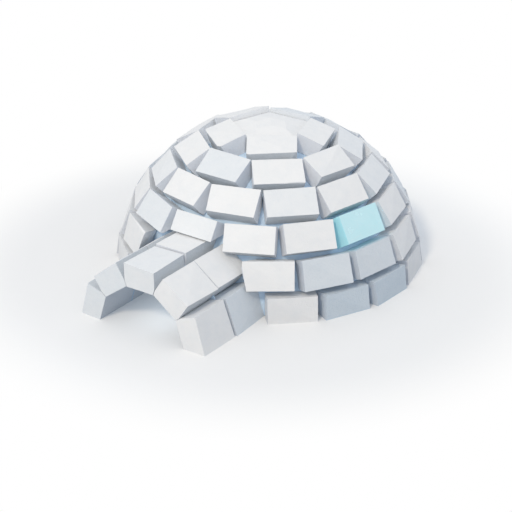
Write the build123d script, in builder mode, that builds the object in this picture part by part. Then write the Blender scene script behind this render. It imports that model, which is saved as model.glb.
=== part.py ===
"""Snow-block igloo: a domed shelter with a short vaulted entrance.

The dome is six courses of straight sawn blocks. Each block stands on its own flat facet of a lining of
packed snow, which is the inner skin of the wall, and a crown block closes the top. The entrance is two rings
of five blocks set as an arch, with packed snow between the rings, and it opens into the dome through an
arched doorway.

Units are millimetres and degrees. The entrance faces -Y, X runs to the right of someone who stands before
it, and Z = 0 is the ground. The origin is the middle of the ground that the whole igloo covers. A bearing is
measured round the dome from the entrance towards +X, and a tilt is how far a block leans back from upright.
"""

from build123d import *
from math import atan2, cos, degrees, floor, hypot, pi, radians, sin, tan
from random import Random
import os

os.makedirs("parts", exist_ok=True)

# Dome
face_radius = 2000  # from the dome's centre to the middle of each block's outer face
centre_depth = 90  # the dome's centre lies this far under the ground
block_length = 640
block_height = 368
block_depth = 240
head_joint = 80  # the least opening between the outer faces of two neighbours in a course
bed_joint = 86  # the opening between the outer faces of two courses, along the dome
first_tilt = 6.8
least_blocks = 4  # a course of fewer blocks gives way to the crown block
lining_thickness = 90
fitting_gap = 6  # left between blocks where they are dressed to each other

# Clear-ice window block
courses_below_window = 2
blocks_round_to_window = 3  # counted round from the entrance towards +X
window_rebate = 65  # how far the clear-ice block laps over the lining round its opening

# Crown block
crown_shoulder = 100  # how far its sloping shoulders lie inside the dome's face radius
crown_summit = 20  # and its summit's facets
shoulder_tilt = 67
summit_tilt = 81

# Entrance vault
vault_names = ("left_foot", "left_shoulder", "key", "right_shoulder", "right_foot")
ring_names = ("front", "rear")
vault_angle = 36  # from one block of a ring to the next
vault_radius = 618  # from the vault's axis to the middle of each inner face
vault_thickness = 326
vault_joint = 165  # the opening between the outer faces of two neighbours
vault_length = 598  # each block, along the passage
vault_centre_depth = 38  # the vault's axis lies this far under the ground
vault_reach = 2744  # from the dome's axis to the mouth
ring_joint = 42
packing_depth = 150

# Hand cutting leaves each block a little out of true
size_stray = 9  # on each length, height and depth
place_stray = 7
turn_stray = 0.9
face_stray = 1.3
hand = Random(5)

# Worked out from the sizes above
lining_radius = face_radius - block_depth
hollow_radius = lining_radius - lining_thickness
course_step = degrees((block_height + bed_joint) / face_radius)
vault_outer_radius = vault_radius + vault_thickness
vault_middle_radius = vault_radius + vault_thickness / 2
vault_width = 2 * vault_outer_radius * tan(radians(vault_angle / 2)) - vault_joint
dome_y = (vault_reach - hypot(face_radius, block_length / 2)) / 2
mouth_y = dome_y - vault_reach
dome_centre = Vector(0, dome_y, -centre_depth)
vault_centre = Vector(0, 0, -vault_centre_depth)
vault_blocks = len(vault_names)

ground = Plane.XY
right_half = Plane((0, 0, 0), x_dir=(0, 1, 0), z_dir=(1, 0, 0))
left_half = Plane((0, 0, 0), x_dir=(0, 1, 0), z_dir=(-1, 0, 0))


def outward(bearing, tilt):
    """The direction that a block faces."""
    b, t = radians(bearing), radians(tilt)
    return Vector(sin(b) * cos(t), -cos(b) * cos(t), sin(t))


def along(bearing):
    """The level direction that runs round the dome, towards growing bearings."""
    b = radians(bearing)
    return Vector(cos(b), sin(b), 0)


def blocks_in_course(tilt):
    round_the_faces = 2 * pi * face_radius * cos(radians(tilt))
    return floor(round_the_faces / (block_length + head_joint))


def course_tilts():
    tilts = []
    tilt = first_tilt
    while tilt < 90 and blocks_in_course(tilt) >= least_blocks:
        tilts.append(tilt)
        tilt += course_step
    return tilts


def bearings(course, tilt):
    """Running bond: every other course starts with a block over the entrance."""
    count = blocks_in_course(tilt)
    pitch = 360 / count
    start = 0 if course % 2 == 0 else pitch / 2
    return [(start + i * pitch + 180) % 360 - 180 for i in range(count)]


def bed_height(tilt):
    """Ground to the level bed on top of the lining behind a course."""
    edge_radius = lining_radius / cos(radians(course_step / 2))
    return edge_radius * sin(radians(tilt + course_step / 2)) - centre_depth


def facet_plane(course, bearing, radius):
    """The face of one site at a radius, square to the way that its block faces."""
    facing = outward(bearing, tilts[course])
    return Plane(dome_centre + facing * radius, x_dir=along(bearing), z_dir=facing)


tilts = course_tilts()
sites = [(c, b) for c, tilt in enumerate(tilts) for b in bearings(c, tilt)]
window_tilt = tilts[courses_below_window]
window_bearing = blocks_round_to_window * 360 / blocks_in_course(window_tilt)
window_site = min(
    (site for site in sites if site[0] == courses_below_window),
    key=lambda site: abs(site[1] - window_bearing),
)

# --- Entrance vault, seen along the passage ---
vault_angles = [(i - (vault_blocks - 1) / 2) * vault_angle for i in range(vault_blocks)]


def vault_outward(angle):
    """The direction that a block of the vault faces, its angle from upright growing towards +X."""
    return Vector(sin(radians(angle)), 0, cos(radians(angle)))


def beyond_vault(point, angle):
    """How far a point lies outside one outer side of the vault."""
    return (point - vault_centre).dot(vault_outward(angle)) - vault_outer_radius


def nearest_side(point):
    return max(vault_angles, key=lambda angle: beyond_vault(point, angle))


def arch_outline(radius):
    """Corners of the arch whose flat sides lie at one radius, with its feet under the ground."""
    corner_radius = radius / cos(radians(vault_angle / 2))
    corners = []
    for angle in vault_angles[:-1]:
        corner = vault_outward(angle + vault_angle / 2) * corner_radius
        corners.append((corner.X, corner.Z - vault_centre_depth))
    foot_depth = vault_thickness
    spring = radians(vault_angles[-1])
    foot_x = (radius + foot_depth * cos(spring)) / sin(spring)
    foot_z = -foot_depth - vault_centre_depth
    return [(-foot_x, foot_z)] + corners + [(foot_x, foot_z)]


def faceted_dome(radius):
    """A solid dome with one flat facet behind each block, and one under the crown block."""
    facets = [outward(bearing, tilts[course]) for course, bearing in sites] + [Vector(0, 0, 1)]
    with BuildPart() as dome:
        with BuildSketch(Plane.XY.offset(-centre_depth)):
            with Locations((0, dome_y)):
                Circle(face_radius)
        extrude(amount=face_radius)
        for facet in facets:
            split(bisect_by=Plane(dome_centre + facet * radius, z_dir=-facet))
    return dome.part


lining_form = faceted_dome(lining_radius)
hollow_form = faceted_dome(hollow_radius)

with BuildPart() as passage_form:
    with BuildSketch(Plane.XZ.offset(-dome_y)):
        Polygon(*arch_outline(vault_radius), align=None)
    extrude(amount=vault_reach)

with BuildPart() as window_form:
    with BuildSketch(facet_plane(*window_site, hollow_radius - lining_thickness)):
        Rectangle(block_length - 2 * window_rebate, block_height - 2 * window_rebate)
    extrude(amount=2 * lining_thickness + fitting_gap)

with BuildPart() as lining:
    add(lining_form)
    add(hollow_form, mode=Mode.SUBTRACT)
    add(passage_form.part, mode=Mode.SUBTRACT)
    add(window_form.part, mode=Mode.SUBTRACT)


# --- Lining, a ring to each course, in halves ---
def lining_piece(low, high, half):
    with BuildPart() as piece:
        add(lining.part)
        split(bisect_by=Plane.XY.offset(low))
        if high is not None:
            split(bisect_by=Plane.XY.offset(high), keep=Keep.BOTTOM)
        if half is not None:
            split(bisect_by=half)
    return piece.part


beds = [0] + [bed_height(tilt) for tilt in tilts[:-1]]
for course, (low, high) in enumerate(zip(beds, beds[1:]), start=1):
    for side, half in (("right", right_half), ("left", left_half)):
        ring = lining_piece(low, high, half)
        ring.label = f"lining_course_{course}_{side}"
        export_step(ring, f"parts/{ring.label}.step")

lining_crown = lining_piece(beds[-1], None, None)
lining_crown.label = "lining_crown"
export_step(lining_crown, "parts/lining_crown.step")


# --- Dome blocks ---
def bed_planes(tilt, bearing):
    """Planes that dress a block's two beds to the middle of its joints with the courses above and below."""
    low_tilt, high_tilt = tilt - course_step / 2, tilt + course_step / 2
    low_edge = lining_radius * cos(radians(tilt)) + block_height / 2 * sin(radians(tilt))
    corner_bearing = degrees(atan2(block_length / 2, low_edge))
    planes = []
    for shift in (-corner_bearing, 0, corner_bearing):
        up = outward(bearing + shift, low_tilt - 90) * -1
        planes.append(Plane(dome_centre + up * fitting_gap / 2, z_dir=up))
    down = outward(bearing, high_tilt - 90)
    planes.append(Plane(dome_centre + down * fitting_gap / 2, z_dir=down))
    return planes


def head_planes(bearing, pitch):
    """Planes that dress a block's two ends to the middle of its joints with its neighbours."""
    planes = []
    for side in (-1, 1):
        inward = along(bearing + side * pitch / 2) * -side
        planes.append(Plane(dome_centre + inward * fitting_gap / 2, z_dir=inward))
    return planes


def dome_block(course, bearing):
    """One straight block, square to the facet that it stands on, and None where the vault takes its place."""
    tilt = tilts[course]
    facing = outward(bearing, tilt)
    upward = facing.cross(along(bearing))
    strays = [hand.uniform(-1, 1) for _ in range(8)]
    length, height, depth = (
        size + size_stray * stray for size, stray in zip((block_length, block_height, block_depth), strays)
    )
    face_middle = dome_centre + facing * face_radius
    cuts = head_planes(bearing, 360 / blocks_in_course(tilt)) + bed_planes(tilt, bearing)
    if course == 0:
        cuts.append(ground)
    if course == len(tilts) - 1:
        cuts.append(Plane(dome_centre + upward * block_height / 2, z_dir=-upward))
    if face_middle.Y < dome_y:
        angle = nearest_side(face_middle)
        if beyond_vault(face_middle, angle) < 0:
            return None
        side = vault_outward(angle)
        cuts.append(Plane(vault_centre + side * (vault_outer_radius + fitting_gap), z_dir=side))
    lean = (facing + along(bearing) * tan(radians(face_stray * strays[6]))
            + upward * tan(radians(face_stray * strays[7]))).normalized()
    with BuildPart() as block:
        with BuildSketch(facet_plane(course, bearing, lining_radius)):
            with Locations((place_stray * strays[3], place_stray * strays[4])):
                Rectangle(length, height, rotation=turn_stray * strays[5])
        extrude(amount=depth + size_stray)
        split(bisect_by=Plane(dome_centre + facing * (lining_radius + depth), z_dir=-lean))
        for cut in cuts:
            split(bisect_by=cut)
    return block.part


def side_of(bearing):
    return "right" if 0 <= bearing < 180 else "left"


cut_blocks = [(course, bearing, dome_block(course, bearing)) for course, bearing in sites]
cut_blocks = [entry for entry in cut_blocks if entry[2] is not None]

# The clear-ice block lets daylight in through the opening behind it
ice_window = next(block for course, bearing, block in cut_blocks if (course, bearing) == window_site)
ice_window.label = "ice_window"
export_step(ice_window, "parts/ice_window.step")

for course in range(len(tilts)):
    for side in ("right", "left"):
        with BuildPart() as half_course:
            for entry in cut_blocks:
                if entry[:2] != window_site and entry[0] == course and side_of(entry[1]) == side:
                    add(entry[2])
        half_course.part.label = f"blocks_course_{course + 1}_{side}"
        export_step(half_course.part, f"parts/{half_course.part.label}.step")

# --- Crown block, fitted between the top faces of the last course ---
last_tilt = tilts[-1]
last_bearings = bearings(len(tilts) - 1, last_tilt)
last_pitch = 360 / len(last_bearings)
with BuildPart() as crown_block:
    with BuildSketch(Plane.XY.offset(lining_radius - centre_depth)):
        with Locations((0, dome_y)):
            Circle(lining_radius)
    extrude(amount=2 * block_depth)
    for bearing in last_bearings:
        upward = outward(bearing, last_tilt - 90) * -1
        split(bisect_by=Plane(dome_centre + upward * (block_height / 2 + fitting_gap), z_dir=upward))
        shoulder = outward(bearing, shoulder_tilt)
        split(bisect_by=Plane(dome_centre + shoulder * (face_radius - crown_shoulder), z_dir=-shoulder))
        summit = outward(bearing + last_pitch / 2, summit_tilt)
        split(bisect_by=Plane(dome_centre + summit * (face_radius - crown_summit), z_dir=-summit))
crown_block.part.label = "crown_block"
export_step(crown_block.part, "parts/crown_block.step")


# --- Entrance vault ---
def leaned(direction, across, strays):
    """A direction turned a little, as a hand-sawn face is."""
    first, second = (tan(radians(face_stray * stray)) for stray in strays)
    return (direction + across[0] * first + across[1] * second).normalized()


def vault_block(index, front_y, back_y):
    """One block of the vault, dressed to its neighbours where they meet. A foot runs on under the ground."""
    angle = vault_angles[index]
    facing = vault_outward(angle)
    round_the_arch = vault_outward(angle + 90)
    section = Plane((0, back_y, -vault_centre_depth), x_dir=round_the_arch, z_dir=(0, -1, 0))
    strays = [hand.uniform(-1, 1) for _ in range(5)]

    half_width = (vault_width + size_stray * strays[0]) / 2
    left, right = -half_width, half_width
    cuts = []
    if index == 0:
        left = -vault_width
    else:
        cuts.append(Plane(vault_centre, z_dir=vault_outward(angle - vault_angle / 2 + 90)))
    if index == vault_blocks - 1:
        right = vault_width
    else:
        cuts.append(Plane(vault_centre, z_dir=vault_outward(angle + vault_angle / 2 - 90)))

    # The leaning faces stay inside the true ones, so that nothing beside them is fouled
    slack = tan(radians(face_stray)) * (vault_width + vault_length) / 2
    top_point = Vector(0, (front_y + back_y) / 2, -vault_centre_depth) + facing * (vault_outer_radius - slack)
    top_lean = leaned(facing, (round_the_arch, Vector(0, 1, 0)), strays[1:3])
    mouth_point = Vector(0, front_y + slack, -vault_centre_depth) + facing * vault_middle_radius
    mouth_lean = leaned(Vector(0, 1, 0), (facing, round_the_arch), strays[3:5])

    with BuildPart() as block:
        with BuildSketch(section):
            Polygon((left, vault_radius), (right, vault_radius), (right, vault_outer_radius),
                    (left, vault_outer_radius), align=None)
        extrude(amount=back_y - front_y)
        for cut in cuts:
            split(bisect_by=cut)
        split(bisect_by=Plane(top_point, z_dir=top_lean * -1))
        if front_y == mouth_y:
            split(bisect_by=Plane(mouth_point, z_dir=mouth_lean))
    return block.part


ring_fronts = [mouth_y + ring * (vault_length + ring_joint) for ring in range(len(ring_names))]
for place, front_y in zip(ring_names, ring_fronts):
    last = place == ring_names[-1]
    back_y = dome_y - hollow_radius / 2 if last else front_y + vault_length
    for index, name in enumerate(vault_names):
        with BuildPart() as vault_piece:
            add(vault_block(index, front_y, back_y))
            if last:
                add(lining_form, mode=Mode.SUBTRACT)
            split(bisect_by=ground)
        vault_piece.part.label = f"vault_{place}_{name}"
        export_step(vault_piece.part, f"parts/{vault_piece.part.label}.step")

with BuildPart() as vault_packing:
    with BuildSketch(Plane.XZ.offset(-ring_fronts[1])):
        Polygon(*arch_outline(vault_radius + packing_depth), align=None)
        Polygon(*arch_outline(vault_radius), align=None, mode=Mode.SUBTRACT)
    extrude(amount=ring_joint)
    split(bisect_by=ground)
vault_packing.part.label = "vault_packing"
export_step(vault_packing.part, "parts/vault_packing.step")
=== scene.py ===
# %% [markdown]
# # A snow-block igloo, dressed over its construction model
#
# The construction model holds the igloo as it is built: six courses of sawn blocks on a lining of packed
# snow, a crown block, and an entrance of two arched rings. Here each block gets what a saw, a knife and a
# few cold nights give it: slightly uneven faces, worn edges, saw marks, grain and a little frost.
#
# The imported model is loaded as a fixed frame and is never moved. Blocks are worked on as copies of it, so
# each finished block lies where its solid does. Only the joint between the two arches is closed up further.

import bmesh
import bpy
from math import atan2, cos, degrees, radians, sin
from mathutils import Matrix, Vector
from random import Random


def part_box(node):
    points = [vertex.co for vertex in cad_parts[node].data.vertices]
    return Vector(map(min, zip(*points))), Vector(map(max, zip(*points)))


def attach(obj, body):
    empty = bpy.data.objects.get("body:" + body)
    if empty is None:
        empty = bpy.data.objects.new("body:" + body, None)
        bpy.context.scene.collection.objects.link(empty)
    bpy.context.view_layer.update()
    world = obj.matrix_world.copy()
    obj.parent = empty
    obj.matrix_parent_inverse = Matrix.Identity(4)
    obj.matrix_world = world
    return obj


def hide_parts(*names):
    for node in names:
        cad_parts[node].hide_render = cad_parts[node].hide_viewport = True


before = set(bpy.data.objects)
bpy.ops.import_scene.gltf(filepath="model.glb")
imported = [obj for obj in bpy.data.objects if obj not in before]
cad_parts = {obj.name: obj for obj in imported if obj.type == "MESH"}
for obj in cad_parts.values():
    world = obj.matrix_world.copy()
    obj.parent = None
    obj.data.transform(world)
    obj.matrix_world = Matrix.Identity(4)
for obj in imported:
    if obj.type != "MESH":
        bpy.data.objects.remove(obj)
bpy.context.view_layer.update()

# %% [markdown]
# ## The viewpoint
#
# The igloo is seen from a little above, from the front and to the right, with a long lens from some 20 m
# away, so that its courses look almost as they would in a drawing. The camera stands off from the middle of
# the dome, which is read from a ring of the lining, because that ring is the same at its front and its back,
# and it is turned a little to the left, towards the entrance.

# %% Camera
ring_boxes = [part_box(f"lining_course_3_{side}") for side in ("left", "right")]
dome_y = (min(low.y for low, high in ring_boxes) + max(high.y for low, high in ring_boxes)) / 2
dome_centre_depth = 0.09  # under the ground
dome_centre = Vector((0, dome_y, -dome_centre_depth))

camera_distance = 20.5
camera_bearing = radians(34.3)
camera_height = radians(26.03)
camera_turn = radians(0.57)
camera_lift = 0.036
lens_length, sensor_width = 108.22, 36  # millimetres
away = Vector((
    sin(camera_bearing) * cos(camera_height),
    -cos(camera_bearing) * cos(camera_height),
    sin(camera_height),
))

camera_data = bpy.data.cameras.new("camera")
camera_data.lens = lens_length
camera_data.sensor_width = sensor_width
camera = bpy.data.objects.new("camera", camera_data)
camera.location = dome_centre + Vector((0, 0, camera_lift)) + away * camera_distance
camera.rotation_euler = (radians(90) - camera_height, 0, camera_bearing + camera_turn)
bpy.context.scene.collection.objects.link(camera)
bpy.context.scene.camera = camera
bpy.context.scene.view_settings.view_transform = "Standard"
print("dome centre", [round(v, 4) for v in dome_centre], "camera", [round(v, 3) for v in camera.location])

# %% [markdown]
# ## Light and ground
#
# Snow shows its shape only by how the light falls on it. One soft lamp stands high in front of the entrance,
# a little to its right, and an even, slightly blue sky fills the shade, as it does out of doors. The lamp and
# the sky together light a face turned to the lamp at about its own colour, so that white snow stays below
# pure white and keeps its shape.
#
# Daylight also comes through a snow wall, so a snow house is never black inside. Light that travels through
# the blocks is slow to work out, so two weak lamps stand for it, one in the passage and one under the dome.
# Two more, broad and low, one before the doorway and one behind the dome, are the light that a snowfield
# throws back.
#
# The ground is a pale sheet of snow that fades to white well away from the walls. It is seen white, but
# throws less than half of the light back up, so that the undersides of the blocks keep their shade.

# %% What is looked at, and what only gets light
def looked_at(tree):
    """1 where the camera, a reflection or a look through the ice meets a surface, and 0 for plain light."""
    path = tree.nodes.new("ShaderNodeLightPath")
    seen = path.outputs["Is Camera Ray"]
    for kind in ("Is Glossy Ray", "Is Transmission Ray"):
        either = tree.nodes.new("ShaderNodeMath")
        either.operation = "MAXIMUM"
        tree.links.new(seen, either.inputs[0])
        tree.links.new(path.outputs[kind], either.inputs[1])
        seen = either.outputs[0]
    return seen


# %% Lamp and sky
lamp_bearing = radians(5)
lamp_height = radians(46)
lamp_strength = 1.04
lamp_colour = (1.0, 0.87, 0.69)
lamp_softness = radians(9)

lamp_data = bpy.data.lights.new("high_lamp", "SUN")
lamp_data.energy = lamp_strength
lamp_data.color = lamp_colour
lamp_data.angle = lamp_softness
lamp = bpy.data.objects.new("high_lamp", lamp_data)
lamp.rotation_euler = (radians(90) - lamp_height, 0, lamp_bearing)
bpy.context.scene.collection.objects.link(lamp)

sky_colour = (0.87, 0.925, 1.0, 1)
sky_strength = 0.80

world = bpy.data.worlds.new("sky")
bpy.context.scene.world = world
world.use_nodes = True
sky = world.node_tree
sky.nodes.clear()
sky_light = sky.nodes.new("ShaderNodeBackground")
sky_light.inputs["Color"].default_value = sky_colour
sky_light.inputs["Strength"].default_value = sky_strength
white_backdrop = sky.nodes.new("ShaderNodeBackground")
white_backdrop.inputs["Color"].default_value = (1, 1, 1, 1)
choose = sky.nodes.new("ShaderNodeMixShader")
sky.links.new(looked_at(sky), choose.inputs["Fac"])
sky.links.new(sky_light.outputs[0], choose.inputs[1])
sky.links.new(white_backdrop.outputs[0], choose.inputs[2])
world_output = sky.nodes.new("ShaderNodeOutputWorld")
sky.links.new(choose.outputs[0], world_output.inputs["Surface"])
print("lamp", lamp_strength, "sky", sky_strength)

# %% Soft lamps
snowfield_light = (0.93, 0.98, 1.0)
light_through_snow = (0.80, 0.91, 1.0)
downwards = (0, 0, 0)


def soft_lamp(name, place, turn, size, power, colour=snowfield_light):
    data = bpy.data.lights.new(name, "AREA")
    data.shape = "RECTANGLE"
    data.size, data.size_y = size
    data.energy = power
    data.color = colour
    soft = bpy.data.objects.new(name, data)
    soft.location = place
    soft.rotation_euler = turn
    soft.visible_camera = False
    bpy.context.scene.collection.objects.link(soft)


to_the_doorway = (radians(80), 0, radians(-4))
to_the_back = (radians(-78), 0, radians(-8))
soft_lamp("doorway_lamp", (-0.4, -6.0, 1.1), to_the_doorway, size=(2.4, 2.4), power=18)
soft_lamp("back_lamp", (1.2, 6.8, 2.0), to_the_back, size=(3, 3), power=28)
soft_lamp("passage_lamp", (0, -1.8, 0.5), downwards, size=(0.4, 0.8), power=1.5, colour=light_through_snow)
soft_lamp("dome_lamp", (0, dome_y, 1.2), downwards, size=(1.2, 1.2), power=9)
print("soft lamps", [one.name for one in bpy.data.lights if one.type == "AREA"])

# %% Mixing two colours
def mix_colours(nodes, links, factor, first, second, blend="MIX"):
    """Each colour is a tuple or a socket."""
    mix = nodes.new("ShaderNodeMix")
    mix.data_type = "RGBA"
    mix.blend_type = blend
    links.new(factor, mix.inputs["Factor"])
    for label, colour in (("A", first), ("B", second)):
        socket = next(s for s in mix.inputs if s.name == label and s.type == "RGBA")
        if isinstance(colour, tuple):
            socket.default_value = (*colour, 1)
        else:
            links.new(colour, socket)
    return next(s for s in mix.outputs if s.type == "RGBA")


# %% Ground
bpy.ops.object.select_all(action="DESELECT")
bpy.ops.mesh.primitive_circle_add(vertices=96, radius=30, fill_type="NGON", location=(0, 0, 0))
ground = bpy.context.object
ground.name = "snow_field"

# %% Ground finish
throws_back = (0.40, 0.41, 0.43)
is_seen_as = (0.90, 0.90, 0.90)
fade_starts, fade_ends = 2.9, 4.4  # from the middle of the igloo

ground_finish = bpy.data.materials.new("snow_field")
ground_finish.use_nodes = True
nodes, links = ground_finish.node_tree.nodes, ground_finish.node_tree.links
surface = nodes["Principled BSDF"]
surface.inputs["Roughness"].default_value = 0.9
surface.inputs["Specular IOR Level"].default_value = 0.2
ground_seen = looked_at(ground_finish.node_tree)
links.new(mix_colours(nodes, links, ground_seen, throws_back, is_seen_as), surface.inputs["Base Color"])
place = nodes.new("ShaderNodeTexCoord")
reach = nodes.new("ShaderNodeVectorMath")
reach.operation = "LENGTH"
links.new(place.outputs["Object"], reach.inputs[0])
fade = nodes.new("ShaderNodeMapRange")
fade.interpolation_type = "SMOOTHSTEP"
fade.inputs["From Min"].default_value = fade_starts
fade.inputs["From Max"].default_value = fade_ends
links.new(reach.outputs["Value"], fade.inputs["Value"])
far_and_seen = nodes.new("ShaderNodeMath")
far_and_seen.operation = "MULTIPLY"
links.new(fade.outputs["Result"], far_and_seen.inputs[0])
links.new(ground_seen, far_and_seen.inputs[1])
white = nodes.new("ShaderNodeEmission")
blend = nodes.new("ShaderNodeMixShader")
links.new(far_and_seen.outputs[0], blend.inputs["Fac"])
links.new(surface.outputs[0], blend.inputs[1])
links.new(white.outputs[0], blend.inputs[2])
links.new(blend.outputs[0], nodes["Material Output"].inputs["Surface"])
ground.data.materials.append(ground_finish)
print("ground", ground.name, "fades from", fade_starts, "to", fade_ends)

# %% [markdown]
# ## Copying blocks off the construction model
#
# A construction solid comes as loose triangles. A copy is merged, and triangles that lie in one plane are
# dissolved back into the single face that the saw cut. A course is then separated into its blocks, because
# each block is worked on square to its own faces, and joined again when all of them are done.

# %% Small helpers round the operators
def select_only(piece, *others):
    bpy.ops.object.select_all(action="DESELECT")
    for one in (piece, *others):
        one.select_set(True)
    bpy.context.view_layer.objects.active = piece


def edit(piece):
    select_only(piece)
    bpy.ops.object.mode_set(mode="EDIT")
    bpy.ops.mesh.select_all(action="DESELECT")


def finish_editing():
    bpy.ops.object.mode_set(mode="OBJECT")


def pick(piece, kind, wanted):
    """Selects, in edit mode, each of the piece's verts, edges or faces that wanted() says yes to."""
    bpy.ops.mesh.select_mode(type={"verts": "VERT", "edges": "EDGE", "faces": "FACE"}[kind])
    bpy.ops.mesh.select_all(action="DESELECT")
    work = bmesh.from_edit_mesh(piece.data)
    for item in getattr(work, kind):
        item.select_set(wanted(item))
    work.select_flush_mode()
    bmesh.update_edit_mesh(piece.data)


def apply_all(piece):
    select_only(piece)
    for modifier in list(piece.modifiers):
        bpy.ops.object.modifier_apply(modifier=modifier.name)


# %% A merged copy of a solid
same_point = 0.0002
same_plane = radians(0.3)


def copy_of_solid(node, name):
    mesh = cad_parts[node].data.copy()
    mesh.materials.clear()
    piece = bpy.data.objects.new(name, mesh)
    bpy.context.scene.collection.objects.link(piece)
    select_only(piece)
    bpy.ops.mesh.customdata_custom_splitnormals_clear()
    edit(piece)
    bpy.ops.mesh.select_all(action="SELECT")
    bpy.ops.mesh.remove_doubles(threshold=same_point)
    bpy.ops.mesh.dissolve_limited(angle_limit=same_plane)
    finish_editing()
    return piece


def single_blocks(piece):
    edit(piece)
    bpy.ops.mesh.select_all(action="SELECT")
    bpy.ops.mesh.separate(type="LOOSE")
    finish_editing()
    return list(bpy.context.selected_objects)


# %% [markdown]
# ## From a clean solid to a hand-cut block
#
# A block is sawn out of a drift and trimmed with a long knife, so its corners are a finger's width out, its
# outer face falls away to both sides of a faint ridge, and its edges crumble. The steps below follow the
# builder's hands. A corner that the neighbours' cuts left in several points is made one again, the outer face
# is creased along a diagonal and its corners are moved a little, the free edges are beveled, the faces are
# ruled into small squares, and two Displace modifiers press in hollows and crumbled edges. The crease is
# marked sharp, because smooth shading would hide it.
#
# Corners shift along the outer face, where neighbours are a hand's width off, and sink, but never stand out.
# The back, which is bedded on the lining, and the foot, which stands on the ground, stay flat.

# %% Which way a block lies
nearly_outward = 0.8  # least cosine


def outer_face(block, outward):
    facing = [face for face in block.data.polygons if face.normal.dot(outward) > nearly_outward]
    return max(facing, key=lambda face: face.area)


def axes_of(block, outward, lengthways=None):
    """The directions that the block faces, runs along and stands up."""
    facing = outer_face(block, outward).normal.copy()
    level = lengthways or Vector((0, 0, 1)).cross(facing)
    level = (level - facing * level.dot(facing)).normalized()
    return facing, level, facing.cross(level)


# %% Whole corners
shortest_edge = 0.012
flat_enough = radians(2)


def whole_corners(block):
    """A corner that its neighbours' cuts left in two or three points becomes one point again."""
    edit(block)
    bpy.ops.mesh.select_all(action="SELECT")
    bpy.ops.mesh.remove_doubles(threshold=shortest_edge)
    bpy.ops.mesh.dissolve_limited(angle_limit=flat_enough)
    finish_editing()


# %% Creased face and pulled-in corners
corner_stray = 0.011
ridge_sink, low_sink = (0, 0.005), (0.007, 0.022)
at_corner = 0.00001
ground_touch = 0.001


def loosen_corners(block, outward, axes, hand):
    facing, level, upward = axes
    face = outer_face(block, outward)
    corners = [block.data.vertices[i].co.copy() for i in face.vertices]
    edit(block)
    start = hand.choice((0, 1))
    crease = (corners[start], corners[start + len(corners) // 2])
    pick(block, "verts", lambda v: any((v.co - end).length < at_corner for end in crease))
    bpy.ops.mesh.vert_connect()
    bpy.ops.mesh.mark_sharp()
    for corner in corners:
        shift = level * hand.uniform(-corner_stray, corner_stray)
        shift += upward * hand.uniform(-corner_stray, corner_stray)
        shift += facing * -hand.uniform(*(ridge_sink if corner in crease else low_sink))
        if corner.z < ground_touch:
            shift.z = 0
        pick(block, "verts", lambda v: (v.co - corner).length < at_corner)
        bpy.ops.transform.translate(value=shift)
    finish_editing()


# %% Beveled edges
edge_round = 0.0045
least_edge_angle = radians(12)


def is_bedded(point, bed, facing):
    return point.dot(facing) < bed + ground_touch


def round_edges(block, axes):
    facing = axes[0]
    bed = min(v.co.dot(facing) for v in block.data.vertices)
    worn = block.vertex_groups.new(name="worn")
    edit(block)

    def free(edge):
        ends = [v.co for v in edge.verts]
        on_the_ground = all(end.z < ground_touch for end in ends)
        on_its_bed = all(is_bedded(end, bed, facing) for end in ends)
        return not on_the_ground and not on_its_bed and edge.calc_face_angle(0) > least_edge_angle

    pick(block, "edges", free)
    bpy.ops.mesh.bevel(offset=edge_round, segments=2, profile=0.55, clamp_overlap=True)
    block.vertex_groups.active_index = worn.index
    bpy.ops.object.vertex_group_assign()
    finish_editing()


# %% Ruled faces
block_square = 0.022


def rule_faces(block, axes, spacing):
    """Cuts the faces into small squares, square to the block, for the relief to shape."""
    edit(block)
    for direction in axes:
        reach = [v.co.dot(direction) for v in block.data.vertices]
        count = max(2, round((max(reach) - min(reach)) / spacing))
        for i in range(1, count):
            at = min(reach) + (max(reach) - min(reach)) * i / count
            bpy.ops.mesh.select_all(action="SELECT")
            bpy.ops.mesh.bisect(plane_co=direction * at, plane_no=direction)
    finish_editing()


# %% Hollows and crumbled edges
def relief_texture(name, grain):
    relief = bpy.data.textures.new(name, "CLOUDS")
    relief.noise_scale = grain
    relief.noise_depth = 1
    return relief


face_hollows = relief_texture("face_hollows", 0.11)
edge_crumbs = relief_texture("edge_crumbs", 0.028)
hollow_depth, crumb_depth = 0.002, 0.005


def press_in(piece, relief, depth, group):
    push = piece.modifiers.new(relief.name, "DISPLACE")
    push.texture = relief
    push.texture_coords = "LOCAL"
    push.mid_level = 1
    push.strength = depth
    push.vertex_group = group


def wear(block, axes, edge_depth=crumb_depth):
    facing = axes[0]
    bed = min(v.co.dot(facing) for v in block.data.vertices)
    free = block.vertex_groups.new(name="free")
    worn = block.vertex_groups["worn"]
    fixed = [v.index for v in block.data.vertices if v.co.z < ground_touch or is_bedded(v.co, bed, facing)]
    free.add([v.index for v in block.data.vertices], 1, "REPLACE")
    free.remove(fixed)
    worn.remove(fixed)
    press_in(block, face_hollows, hollow_depth, "free")
    press_in(block, edge_crumbs, edge_depth, "worn")
    apply_all(block)


# %% [markdown]
# ### What the finish needs to know
#
# Saw marks run square to a block, so the finish reads each point's place in its own block, in metres along,
# up and out, from an attribute called place. Every block starts from a different place in the pattern, so no
# two look alike. Three more attributes tell how worn a point is, how blue the snow of its block is, and how
# much painted shade a face gets. The outer face is left white, while the sides are painted greyer as shade in
# the joints, and most of all underneath, where the painted shade is deepest.

# %% Attributes for the finish
# Shares of painted shade on a block's top, ends and underside; the outer face gets none.
painted_top_shade, painted_end_shade, painted_under_shade = 0.15, 0.35, 0.8
looks_outward, looks_open_way, looks_up = 0.5, 0.8, 0.5  # least cosines
pattern_reach = 40


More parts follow.
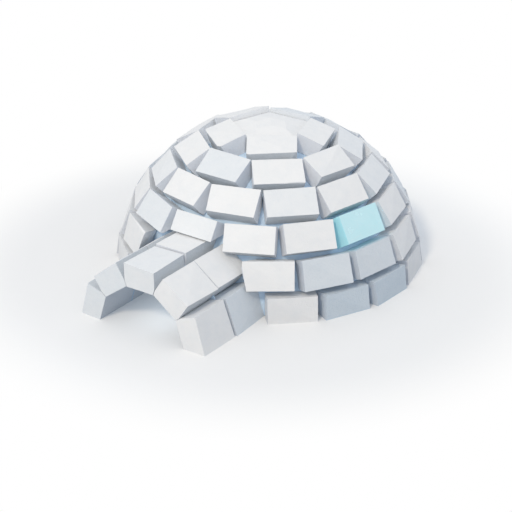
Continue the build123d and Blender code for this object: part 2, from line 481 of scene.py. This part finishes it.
def note_place(block, axes, blueness, hand, open_way=None):
    mesh = block.data
    facing, level, upward = axes
    middle = sum((v.co for v in mesh.vertices), Vector()) / len(mesh.vertices)
    start = Vector([hand.uniform(0, pattern_reach) for _ in range(3)])
    group = block.vertex_groups["worn"].index
    places, wear_of = [], []
    for v in mesh.vertices:
        out = v.co - middle
        places += [out.dot(level) + start.x, out.dot(upward) + start.y, out.dot(facing) + start.z]
        wear_of.append(max((g.weight for g in v.groups if g.group == group), default=0))
    mesh.attributes.new("place", "FLOAT_VECTOR", "POINT").data.foreach_set("vector", places)
    mesh.attributes.new("worn_edge", "FLOAT", "POINT").data.foreach_set("value", wear_of)
    mesh.attributes.new("blueness", "FLOAT", "POINT").data.foreach_set("value", [blueness] * len(wear_of))
    # Painted shade by face: none on the outer face and the mouth, a little on tops, more on ends, most
    # underneath.
    painted_shade_by_face = []
    for face in mesh.polygons:
        rise = face.normal.dot(upward)
        if face.normal.dot(facing) > looks_outward:
            painted_shade_by_face.append(0)
        elif open_way and face.normal.dot(open_way) > looks_open_way:
            painted_shade_by_face.append(0)
        elif rise > looks_up:
            painted_shade_by_face.append(painted_top_shade)
        elif rise < -looks_up:
            painted_shade_by_face.append(painted_under_shade)
        else:
            painted_shade_by_face.append(painted_end_shade)
    mesh.attributes.new("painted_side_mask", "FLOAT", "FACE").data.foreach_set("value", painted_shade_by_face)
    block.vertex_groups.clear()


# %% One finished block
def dress_block(block, outward, blueness, hand, lengthways=None, open_way=None):
    whole_corners(block)
    axes = axes_of(block, outward, lengthways)
    loosen_corners(block, outward, axes, hand)
    round_edges(block, axes)
    rule_faces(block, axes, block_square)
    wear(block, axes)
    note_place(block, axes, blueness, hand, open_way)


# %% Blocks joined to one piece
smooth_under = radians(50)
large_faces_lead = 90


def join_blocks(blocks, name):
    select_only(*blocks)
    if len(blocks) > 1:
        bpy.ops.object.join()
    piece = bpy.context.object
    piece.name = name
    bpy.ops.object.shade_smooth_by_angle(angle=smooth_under)
    weigh = piece.modifiers.new("weighted_normal", "WEIGHTED_NORMAL")
    weigh.keep_sharp = True
    weigh.weight = large_faces_lead
    apply_all(piece)
    for v in piece.data.vertices:
        v.co.z = max(v.co.z, 0)
    return piece


# %% [markdown]
# ## The finish of cut snow
#
# Wind-packed snow is a mass of grains a few millimetres across. A fresh-cut face shows the strokes of the
# saw, and some blocks come from a deeper, older layer that is a shade bluer. Three effects serve all the
# snow here, so each is a node group: the grain, the saw's strokes, and the crumbling at an edge. A group
# puts out only values that change over the surface, and each material adds them up in its own measure.

# %% A start for each node group
def effect(name, inputs, outputs):
    """A node group with float or vector inputs, and its in and out nodes."""
    group = bpy.data.node_groups.new(name, "ShaderNodeTree")
    for label, kind, value in inputs:
        socket = group.interface.new_socket(name=label, in_out="INPUT", socket_type=kind)
        if value is not None:
            socket.default_value = value
    for label in outputs:
        group.interface.new_socket(name=label, in_out="OUTPUT", socket_type="NodeSocketFloat")
    return group, group.nodes.new("NodeGroupInput"), group.nodes.new("NodeGroupOutput")


# %% Grain
grain_effect, given, put_out = effect(
    "snow_grain",
    [("Place", "NodeSocketVector", None), ("Grains per Metre", "NodeSocketFloat", 220),
     ("Patches per Metre", "NodeSocketFloat", 7)],
    ["Grain", "Patches"],
)
nodes, links = grain_effect.nodes, grain_effect.links
fine = nodes.new("ShaderNodeTexNoise")
fine.inputs["Detail"].default_value = 3
fine.inputs["Roughness"].default_value = 0.6
links.new(given.outputs["Place"], fine.inputs["Vector"])
links.new(given.outputs["Grains per Metre"], fine.inputs["Scale"])
broad = nodes.new("ShaderNodeTexNoise")
broad.inputs["Detail"].default_value = 4
broad.inputs["Roughness"].default_value = 0.55
links.new(given.outputs["Place"], broad.inputs["Vector"])
links.new(given.outputs["Patches per Metre"], broad.inputs["Scale"])
links.new(fine.outputs["Fac"], put_out.inputs["Grain"])
links.new(broad.outputs["Fac"], put_out.inputs["Patches"])

# %% Saw strokes
saw_slant = (0.35, 0.5, 0.28)  # radians
drawn_out = (1, 0.06, 1)

saw_effect, given, put_out = effect(
    "saw_strokes",
    [("Place", "NodeSocketVector", None), ("Strokes per Metre", "NodeSocketFloat", 85)],
    ["Strokes"],
)
nodes, links = saw_effect.nodes, saw_effect.links
slant = nodes.new("ShaderNodeVectorRotate")
slant.rotation_type = "EULER_XYZ"
slant.inputs["Rotation"].default_value = saw_slant
links.new(given.outputs["Place"], slant.inputs["Vector"])
stretch = nodes.new("ShaderNodeVectorMath")
stretch.operation = "MULTIPLY"
stretch.inputs[1].default_value = drawn_out
links.new(slant.outputs["Vector"], stretch.inputs[0])
strokes = nodes.new("ShaderNodeTexNoise")
strokes.inputs["Detail"].default_value = 2
links.new(stretch.outputs["Vector"], strokes.inputs["Vector"])
links.new(given.outputs["Strokes per Metre"], strokes.inputs["Scale"])
links.new(strokes.outputs["Fac"], put_out.inputs["Strokes"])

# %% Crumbling edges
break_gain, break_lift = 1.6, -0.55
crumbles_from, crumbles_fully = 0.75, 1.35

crumb_effect, given, put_out = effect(
    "crumbling_edge",
    [("Place", "NodeSocketVector", None), ("Worn", "NodeSocketFloat", 0)],
    ["Crumbled"],
)
nodes, links = crumb_effect.nodes, crumb_effect.links
breaks = nodes.new("ShaderNodeTexNoise")
breaks.inputs["Scale"].default_value = 45
breaks.inputs["Detail"].default_value = 3
links.new(given.outputs["Place"], breaks.inputs["Vector"])
spread = nodes.new("ShaderNodeMath")
spread.operation = "MULTIPLY_ADD"
spread.inputs[1].default_value = break_gain
spread.inputs[2].default_value = break_lift
links.new(breaks.outputs["Fac"], spread.inputs[0])
held = nodes.new("ShaderNodeMath")
held.operation = "ADD"
links.new(spread.outputs[0], held.inputs[0])
links.new(given.outputs["Worn"], held.inputs[1])
crumbled = nodes.new("ShaderNodeMapRange")
crumbled.interpolation_type = "SMOOTHSTEP"
crumbled.inputs["From Min"].default_value = crumbles_from
crumbled.inputs["From Max"].default_value = crumbles_fully
links.new(held.outputs[0], crumbled.inputs["Value"])
links.new(crumbled.outputs["Result"], put_out.inputs["Crumbled"])
print("effects", [group.name for group in (grain_effect, saw_effect, crumb_effect)])


# %% Building a snow material
def attribute(nodes, name, kind="Vector"):
    reader = nodes.new("ShaderNodeAttribute")
    reader.attribute_name = name
    return reader.outputs[kind]


def add_effect(nodes, links, group, **sources):
    node = nodes.new("ShaderNodeGroup")
    node.node_tree = group
    for label, source in sources.items():
        socket = node.inputs[label.replace("_", " ")]
        if isinstance(source, (int, float)):
            socket.default_value = source
        else:
            links.new(source, socket)
    return node


def remap(nodes, links, value, given, wanted):
    """Turns the given span of values into the wanted one, and stops at its ends."""
    spread = nodes.new("ShaderNodeMapRange")
    spread.inputs["From Min"].default_value, spread.inputs["From Max"].default_value = given
    spread.inputs["To Min"].default_value, spread.inputs["To Max"].default_value = wanted
    links.new(value, spread.inputs["Value"])
    return spread.outputs["Result"]


def raise_surface(nodes, links, height, depth, strength, under=None):
    bump = nodes.new("ShaderNodeBump")
    bump.inputs["Distance"].default_value = depth
    bump.inputs["Strength"].default_value = strength
    links.new(height, bump.inputs["Height"])
    if under:
        links.new(under, bump.inputs["Normal"])
    return bump.outputs["Normal"]


# %% Cut snow
white_snow = (0.895, 0.895, 0.895)
blue_snow = (0.62, 0.71, 0.79)
# Painted shade for the sides and underside of a block.
painted_side_shade = (0.53, 0.59, 0.71)
hollow_tint = (0.93, 0.95, 0.97)
# A warm painted bounce, as from lit ground, multiplied into a block's underside.
painted_bounce_tint = (1.0, 0.98, 0.90)


def cut_snow(name):
    """Snow that was sawn: white or bluer by its block, greyer in patches, whiter where an edge crumbles, with
    painted shade on its sides, deepest underneath, where a warm painted bounce is added.
    """
    material = bpy.data.materials.new(name)
    material.use_nodes = True
    nodes, links = material.node_tree.nodes, material.node_tree.links
    surface = nodes["Principled BSDF"]
    surface.inputs["Specular IOR Level"].default_value = 0.2
    place = attribute(nodes, "place")
    grain = add_effect(nodes, links, grain_effect, Place=place)
    saw = add_effect(nodes, links, saw_effect, Place=place)
    edge = add_effect(nodes, links, crumb_effect, Place=place, Worn=attribute(nodes, "worn_edge", "Fac"))

    colour = mix_colours(nodes, links, attribute(nodes, "blueness", "Fac"), white_snow, blue_snow)
    # Painted shade: the sides go greyer and bluer, as in the shade of the joints.
    painted_shade_share = attribute(nodes, "painted_side_mask", "Fac")
    colour = mix_colours(nodes, links, painted_shade_share, colour, painted_side_shade)
    # Painted bounce: the underside is tinted warm, as by light thrown up from the ground.
    under = remap(nodes, links, painted_shade_share, (painted_end_shade, painted_under_shade), (0, 1))
    colour = mix_colours(nodes, links, under, colour, painted_bounce_tint, "MULTIPLY")
    patches = remap(nodes, links, grain.outputs["Patches"], (0.40, 0.72), (0, 0.7))
    colour = mix_colours(nodes, links, patches, colour, hollow_tint, "MULTIPLY")
    specks = remap(nodes, links, grain.outputs["Grain"], (0.35, 0.62), (0.35, 0))
    colour = mix_colours(nodes, links, specks, colour, hollow_tint, "MULTIPLY")
    crumbs = remap(nodes, links, edge.outputs["Crumbled"], (0, 1), (0, 0.18))
    colour = mix_colours(nodes, links, crumbs, colour, white_snow)
    links.new(colour, surface.inputs["Base Color"])

    roughness = remap(nodes, links, grain.outputs["Grain"], (0.3, 0.7), (0.95, 0.7))
    links.new(roughness, surface.inputs["Roughness"])
    normal = raise_surface(nodes, links, saw.outputs["Strokes"], depth=0.0016, strength=0.8)
    normal = raise_surface(nodes, links, grain.outputs["Grain"], depth=0.0012, strength=0.5, under=normal)
    normal = raise_surface(nodes, links, edge.outputs["Crumbled"], depth=0.0015, strength=0.8, under=normal)
    links.new(normal, surface.inputs["Normal"])
    return material


block_finish, crown_finish, vault_finish = map(cut_snow, ("block_snow", "crown_snow", "vault_snow"))
print("snow finishes", [m.name for m in (block_finish, crown_finish, vault_finish)])

# %% [markdown]
# ## The dome's courses
#
# Each half course is one piece, made of its blocks. Which blocks are bluer is the builder's luck: those at
# the front are listed by their bearing round the dome from the entrance, and the rest are drawn from a
# fixed seed.

# %% Bluer blocks
hand = Random(11)
faint, pale, middling, deep = 0.18, 0.35, 0.6, 1.0
blue_blocks = {
    1: {21: middling, 64: deep, 85: deep, -21: pale},
    2: {56: middling, 79: middling},
    3: {0: faint, -26: pale, -80: middling},
    4: {-45: faint, 45: faint, -105: middling, 105: faint},
    5: {0: pale, 120: faint},
    6: {180: pale, -108: 0.0},
}
same_block = 8  # degrees, as all of these
front_bearing, front_reach = 30, 95


def bearing_of(point):
    return degrees(atan2(point.x - dome_centre.x, -(point.y - dome_centre.y)))


def blueness_of(course, bearing):
    for blue, depth in blue_blocks[course].items():
        if abs((bearing - blue + 180) % 360 - 180) < same_block:
            return depth
    if abs(bearing - front_bearing) < front_reach:
        return 0.0
    return hand.choice((0.0, 0.0, pale, middling))


def middle_of(block):
    return sum((v.co for v in block.data.vertices), Vector()) / len(block.data.vertices)


# %% Dress the courses
for course in range(1, 7):
    for side in ("left", "right"):
        node = f"blocks_course_{course}_{side}"
        blocks = single_blocks(copy_of_solid(node, f"sawn_{node}"))
        for block in sorted(blocks, key=lambda b: bearing_of(middle_of(b))):
            middle = middle_of(block)
            outward = (middle - dome_centre).normalized()
            dress_block(block, outward, blueness_of(course, bearing_of(middle)), hand)
        piece = join_blocks(blocks, f"sawn_{node}")
        piece.data.materials.append(block_finish)
        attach(piece, "root")
        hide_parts(node)
        print(piece.name, len(blocks), "blocks", len(piece.data.polygons), "faces")

# %% [markdown]
# ## The entrance vault
#
# The vault is two arches of five blocks. Their builder pushes the second arch close up to the first and
# presses snow into the joint from inside, so only a finger's width of it shows. The solids leave more room
# there, so the faces at the joint are brought towards its middle before the blocks are dressed.

# %% Close joint between the arches
joint_front, joint_back = (corner.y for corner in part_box("vault_packing"))
joint_close = 0.014  # on each side


def close_up(piece, face_y, step):
    edit(piece)
    pick(piece, "verts", lambda v: abs(v.co.y - face_y) < ground_touch)
    bpy.ops.transform.translate(value=(0, step, 0))
    finish_editing()


joint = joint_back - joint_front
print("joint", round(joint, 4), "closed to", round(joint - 2 * joint_close, 4))

# %% Entrance vault
vault_centre_depth = 0.038  # under the ground
blue_vault = {
    ("front", "key"): faint, ("front", "left_shoulder"): pale, ("front", "left_foot"): pale,
    ("rear", "left_foot"): pale, ("rear", "right_foot"): middling,
}

for ring in ("front", "rear"):
    for place in ("left_foot", "left_shoulder", "key", "right_shoulder", "right_foot"):
        node = f"vault_{ring}_{place}"
        block = copy_of_solid(node, f"sawn_{node}")
        if ring == "front":
            close_up(block, joint_front, joint_close)
        else:
            close_up(block, joint_back, -joint_close)
        middle = middle_of(block)
        outward = Vector((middle.x, 0, middle.z + vault_centre_depth)).normalized()
        blueness = blue_vault.get((ring, place), 0.0)
        mouth = Vector((0, -1, 0)) if ring == "front" else None
        dress_block(block, outward, blueness, hand, lengthways=Vector((0, 1, 0)), open_way=mouth)
        piece = join_blocks([block], f"sawn_{node}")
        piece.data.materials.append(vault_finish)
        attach(piece, "root")
        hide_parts(node)
        print(piece.name, len(piece.data.polygons), "faces")

# %% [markdown]
# ## Crown block
#
# The last block is trimmed on five sides until it drops between the tops of the sixth course. It is the same
# cut snow as the others, but its facets are shaved flat, so its corners stay where they are.

# %% Crown
crown_square = 0.026
crown = copy_of_solid("crown_block", "sawn_crown_block")
crown_axes = (Vector((0, 0, 1)), Vector((1, 0, 0)), Vector((0, 1, 0)))
whole_corners(crown)
edit(crown)
pick(crown, "edges", lambda edge: edge.calc_face_angle(0) > flat_enough)
bpy.ops.mesh.mark_sharp()
finish_editing()
round_edges(crown, crown_axes)
rule_faces(crown, crown_axes, crown_square)
wear(crown, crown_axes)
note_place(crown, crown_axes, 0.0, hand)
crown = join_blocks([crown], "sawn_crown_block")
crown.data.materials.append(crown_finish)
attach(crown, "root")
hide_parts("crown_block")
print(crown.name, len(crown.data.polygons), "faces")

# %% [markdown]
# ## Packed snow behind and between the blocks
#
# The lining is trodden and patted into one skin, so its rings are united with a Boolean modifier first and
# remeshed into even squares, which also rounds the facets as a mitten does. Snow that is packed hard and has
# half melted lets more light in, and sends back the blue. It is the blue that shows in the joints.

# %% Packed-snow finish
packed_light = (0.66, 0.81, 0.95)
packed_deep = (0.56, 0.72, 0.90)


def packed_snow(name):
    material = bpy.data.materials.new(name)
    material.use_nodes = True
    nodes, links = material.node_tree.nodes, material.node_tree.links
    surface = nodes["Principled BSDF"]
    surface.inputs["Specular IOR Level"].default_value = 0.35
    place = nodes.new("ShaderNodeTexCoord").outputs["Object"]
    grain = add_effect(nodes, links, grain_effect, Place=place, Grains_per_Metre=140, Patches_per_Metre=4.5)
    patches = remap(nodes, links, grain.outputs["Patches"], (0.35, 0.65), (0, 1))
    links.new(mix_colours(nodes, links, patches, packed_light, packed_deep), surface.inputs["Base Color"])
    roughness = remap(nodes, links, grain.outputs["Patches"], (0.35, 0.65), (0.75, 0.5))
    links.new(roughness, surface.inputs["Roughness"])
    normal = raise_surface(nodes, links, grain.outputs["Patches"], depth=0.012, strength=0.5)
    normal = raise_surface(nodes, links, grain.outputs["Grain"], depth=0.0012, strength=0.45, under=normal)
    links.new(normal, surface.inputs["Normal"])
    return material


lining_finish = packed_snow("packed_snow")
print("packed finish", lining_finish.name)

# %% Lining
lining_square = 0.026
nearly_flat = radians(0.5)
ring_names = [f"lining_course_{course}_{side}" for course in range(1, 6) for side in ("left", "right")]
ring_names.append("lining_crown")
rings = [copy_of_solid(node, f"packed_{node}") for node in ring_names]
lining = rings[0]
lining.name = "packed_lining"
other_rings = bpy.data.collections.new("other_rings")
for ring in rings[1:]:
    bpy.context.scene.collection.objects.unlink(ring)
    other_rings.objects.link(ring)
bpy.context.scene.collection.children.link(other_rings)

unite = lining.modifiers.new("one_skin", "BOOLEAN")
unite.operation = "UNION"
unite.operand_type = "COLLECTION"
unite.collection = other_rings
unite.solver = "EXACT"
apply_all(lining)
for ring in rings[1:]:
    bpy.data.objects.remove(ring)
bpy.data.collections.remove(other_rings)

edit(lining)
bpy.ops.mesh.select_all(action="SELECT")
bpy.ops.mesh.dissolve_limited(angle_limit=nearly_flat)
finish_editing()
even_out = lining.modifiers.new("even_squares", "REMESH")
even_out.voxel_size = lining_square
apply_all(lining)
print(lining.name, len(lining.data.polygons), "faces")

# %% Patted surface
between_skins = 1.72  # from the dome's centre, between the lining's inner and outer skin
patted_from = 0.01  # above the ground
patting_depth = 0.012


def inside_of_lining(point):
    return (point - dome_centre).length < between_skins and point.z > patted_from


hand_hollows = relief_texture("mitten_hollows", 0.22)
patted = lining.vertex_groups.new(name="patted")
patted.add([v.index for v in lining.data.vertices if inside_of_lining(v.co)], 1, "REPLACE")
press_in(lining, hand_hollows, patting_depth, "patted")
apply_all(lining)
lining.vertex_groups.clear()
for v in lining.data.vertices:
    v.co.z = max(v.co.z, 0)
bpy.ops.object.shade_smooth()
lining.data.materials.append(lining_finish)
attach(lining, "root")
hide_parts(*ring_names)
print(lining.name, "stands for", len(ring_names), "solids")

# %% Packing between the arches
packing_square = 0.03
packing = copy_of_solid("vault_packing", "packed_vault_joint")
close_up(packing, joint_front, joint_close)
close_up(packing, joint_back, -joint_close)
packing_axes = (Vector((0, -1, 0)), Vector((1, 0, 0)), Vector((0, 0, 1)))
rule_faces(packing, packing_axes, packing_square)
packing.data.materials.append(lining_finish)
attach(packing, "root")
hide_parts("vault_packing")
print(packing.name, len(packing.data.polygons), "faces")

# %% [markdown]
# ## Clear-ice window
#
# One block is cut from lake ice, clear enough to let daylight through. Ice like that is a pale green blue,
# with trapped bubbles, a few milky cracks, and a surface that is melted smooth. Its sides are painted a
# deeper blue, standing in for the longer way that light travels along the block there. Transmission is only
# partly used, because the ice is cloudy: the body colour carries the look in any light, and a trace of glow
# stands for the daylight that it gathers.

# %% Clear-ice finish
thick_ice = (0.58, 0.93, 0.98)
thin_ice = (0.64, 0.95, 1.0)
milky_ice = (0.82, 0.95, 0.98)
painted_deep_ice = (0.40, 0.90, 1.0)
ice_glow = (0.2, 0.75, 0.9, 1)
glow_strength = 0.05


def clear_ice(name):
    material = bpy.data.materials.new(name)
    material.use_nodes = True
    nodes, links = material.node_tree.nodes, material.node_tree.links
    surface = nodes["Principled BSDF"]
    surface.inputs["IOR"].default_value = 1.31
    surface.inputs["Transmission Weight"].default_value = 0.1
    surface.inputs["Emission Color"].default_value = ice_glow
    surface.inputs["Emission Strength"].default_value = glow_strength
    place = attribute(nodes, "place")
    clouds = nodes.new("ShaderNodeTexNoise")
    clouds.inputs["Scale"].default_value = 6
    clouds.inputs["Detail"].default_value = 4
    links.new(place, clouds.inputs["Vector"])
    cloudy = remap(nodes, links, clouds.outputs["Fac"], (0.35, 0.7), (0, 1))
    colour = mix_colours(nodes, links, cloudy, thick_ice, thin_ice)
    # Painted depth: the sides are mixed towards a deeper blue, for the longer way light takes through the
    # ice.
    painted_deep_side = remap(nodes, links, attribute(nodes, "painted_side_mask", "Fac"), (0, painted_end_shade), (0, 1))
    colour = mix_colours(nodes, links, painted_deep_side, colour, painted_deep_ice)
    bubbles = nodes.new("ShaderNodeTexVoronoi")
    bubbles.inputs["Scale"].default_value = 34
    links.new(place, bubbles.inputs["Vector"])
    trapped = remap(nodes, links, bubbles.outputs["Distance"], (0.10, 0.22), (0.25, 0))
    colour = mix_colours(nodes, links, trapped, colour, milky_ice)
    cracks = nodes.new("ShaderNodeTexVoronoi")
    cracks.feature = "DISTANCE_TO_EDGE"
    cracks.inputs["Scale"].default_value = 4
    links.new(place, cracks.inputs["Vector"])
    cracked = remap(nodes, links, cracks.outputs["Distance"], (0, 0.012), (0.45, 0))
    colour = mix_colours(nodes, links, cracked, colour, milky_ice)
    rime = remap(nodes, links, attribute(nodes, "worn_edge", "Fac"), (0.3, 1), (0, 0.35))
    colour = mix_colours(nodes, links, rime, colour, milky_ice)
    links.new(colour, surface.inputs["Base Color"])
    roughness = remap(nodes, links, clouds.outputs["Fac"], (0.3, 0.7), (0.1, 0.3))
    links.new(roughness, surface.inputs["Roughness"])
    normal = raise_surface(nodes, links, clouds.outputs["Fac"], depth=0.006, strength=0.25)
    links.new(normal, surface.inputs["Normal"])
    return material


ice_finish = clear_ice("clear_ice")
print("ice finish", ice_finish.name)

# %% Window
melted_edge_depth = 0.002
window = copy_of_solid("ice_window", "clear_ice_window")
whole_corners(window)
outward = (middle_of(window) - dome_centre).normalized()
window_axes = axes_of(window, outward)
loosen_corners(window, outward, window_axes, hand)
round_edges(window, window_axes)
rule_faces(window, window_axes, block_square)
wear(window, window_axes, edge_depth=melted_edge_depth)
note_place(window, window_axes, 0.0, hand)
window = join_blocks([window], "clear_ice_window")
window.data.materials.append(ice_finish)
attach(window, "root")
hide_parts("ice_window")
print(window.name, len(window.data.polygons), "faces")
